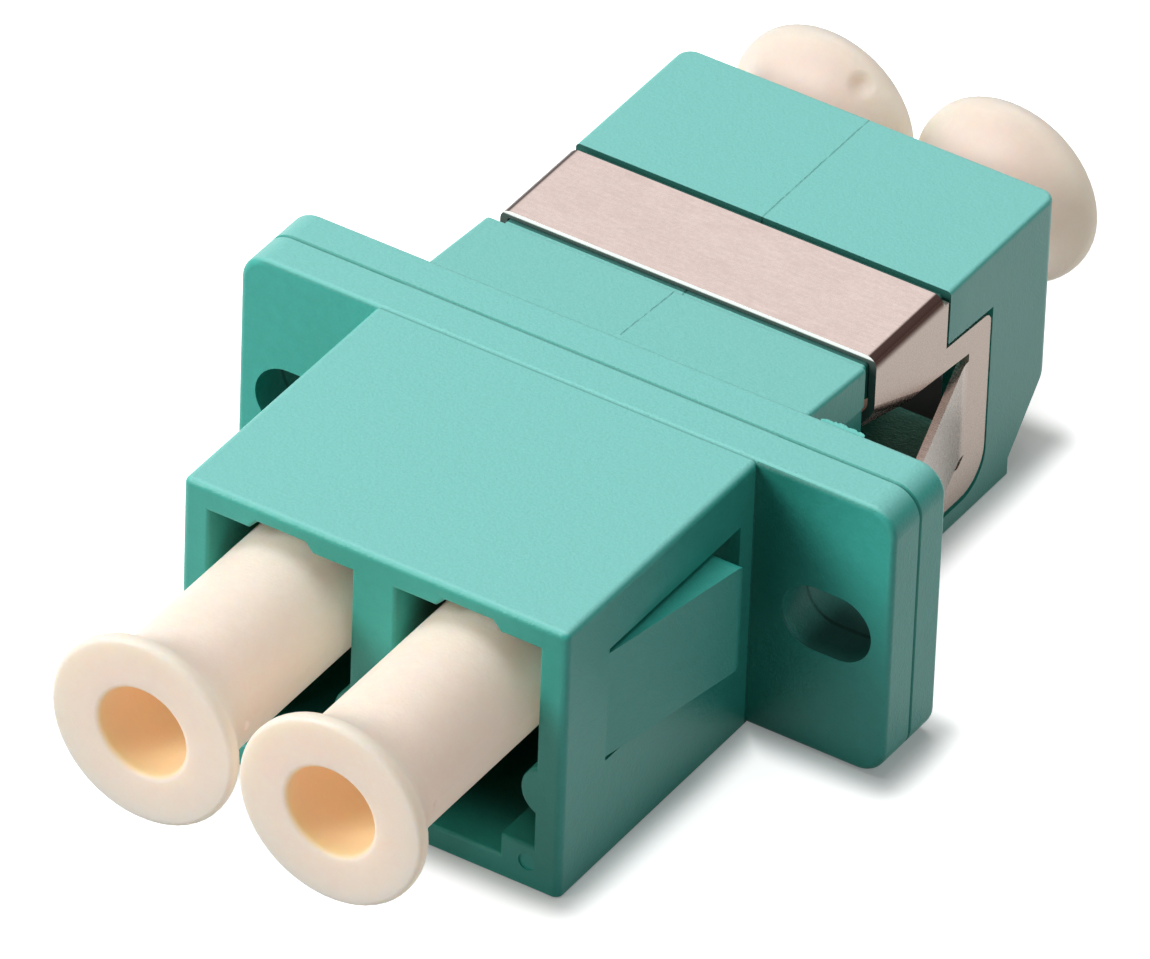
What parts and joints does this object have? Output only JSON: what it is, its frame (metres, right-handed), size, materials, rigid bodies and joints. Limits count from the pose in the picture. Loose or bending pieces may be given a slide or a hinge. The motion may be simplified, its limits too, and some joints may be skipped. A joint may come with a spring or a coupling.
{
  "type": "duplex fibre adapter",
  "caption": "Flanged duplex fibre adapter: welded half housings with side snap arms, a folded spring clip behind the flange, hidden split sleeves and pull-off dust caps.",
  "frame": {"origin": "middle of the flange's rear face, midway between the two screw slots; that face lies on the panel", "axes": "+X along the flange from the left slot to the right one, +Y through the panel along the fibre lines towards the clip, +Z away from the latch side"},
  "size_m": [0.022, 0.036, 0.0094],
  "materials": {
    "aqua_housing": "fine satin moulded polymer",
    "stainless_clip": "satin rolled sheet",
    "cream_cap": "soft waxy moulded polymer",
    "holder_plastic": "moulded polymer",
    "ceramic_sleeve": "ground ceramic"
  },
  "bodies": {
    "adapter": {"front_housing": "aqua_housing", "rear_housing": "aqua_housing", "panel_clip": "stainless_clip", "front_sleeve_holder": "holder_plastic", "rear_sleeve_holder": "holder_plastic", "left_alignment_sleeve": "ceramic_sleeve", "right_alignment_sleeve": "ceramic_sleeve"},
    "front_left_cap": {"front_left_dust_cap": "cream_cap"},
    "front_right_cap": {"front_right_dust_cap": "cream_cap"},
    "rear_left_cap": {"rear_left_dust_cap": "cream_cap"},
    "rear_right_cap": {"rear_right_dust_cap": "cream_cap"}
  },
  "joints": [
    {"name": "front_left_cap_pull", "type": "slide", "parent": "adapter", "child": "front_left_cap", "axis": [0, -1, 0], "range_m": [0, 0.0145]},
    {"name": "front_right_cap_pull", "type": "slide", "parent": "adapter", "child": "front_right_cap", "axis": [0, -1, 0], "range_m": [0, 0.0145]},
    {"name": "rear_left_cap_pull", "type": "slide", "parent": "adapter", "child": "rear_left_cap", "axis": [0, 1, 0], "range_m": [0, 0.0145]},
    {"name": "rear_right_cap_pull", "type": "slide", "parent": "adapter", "child": "rear_right_cap", "axis": [0, 1, 0], "range_m": [0, 0.0145]}
  ]
}
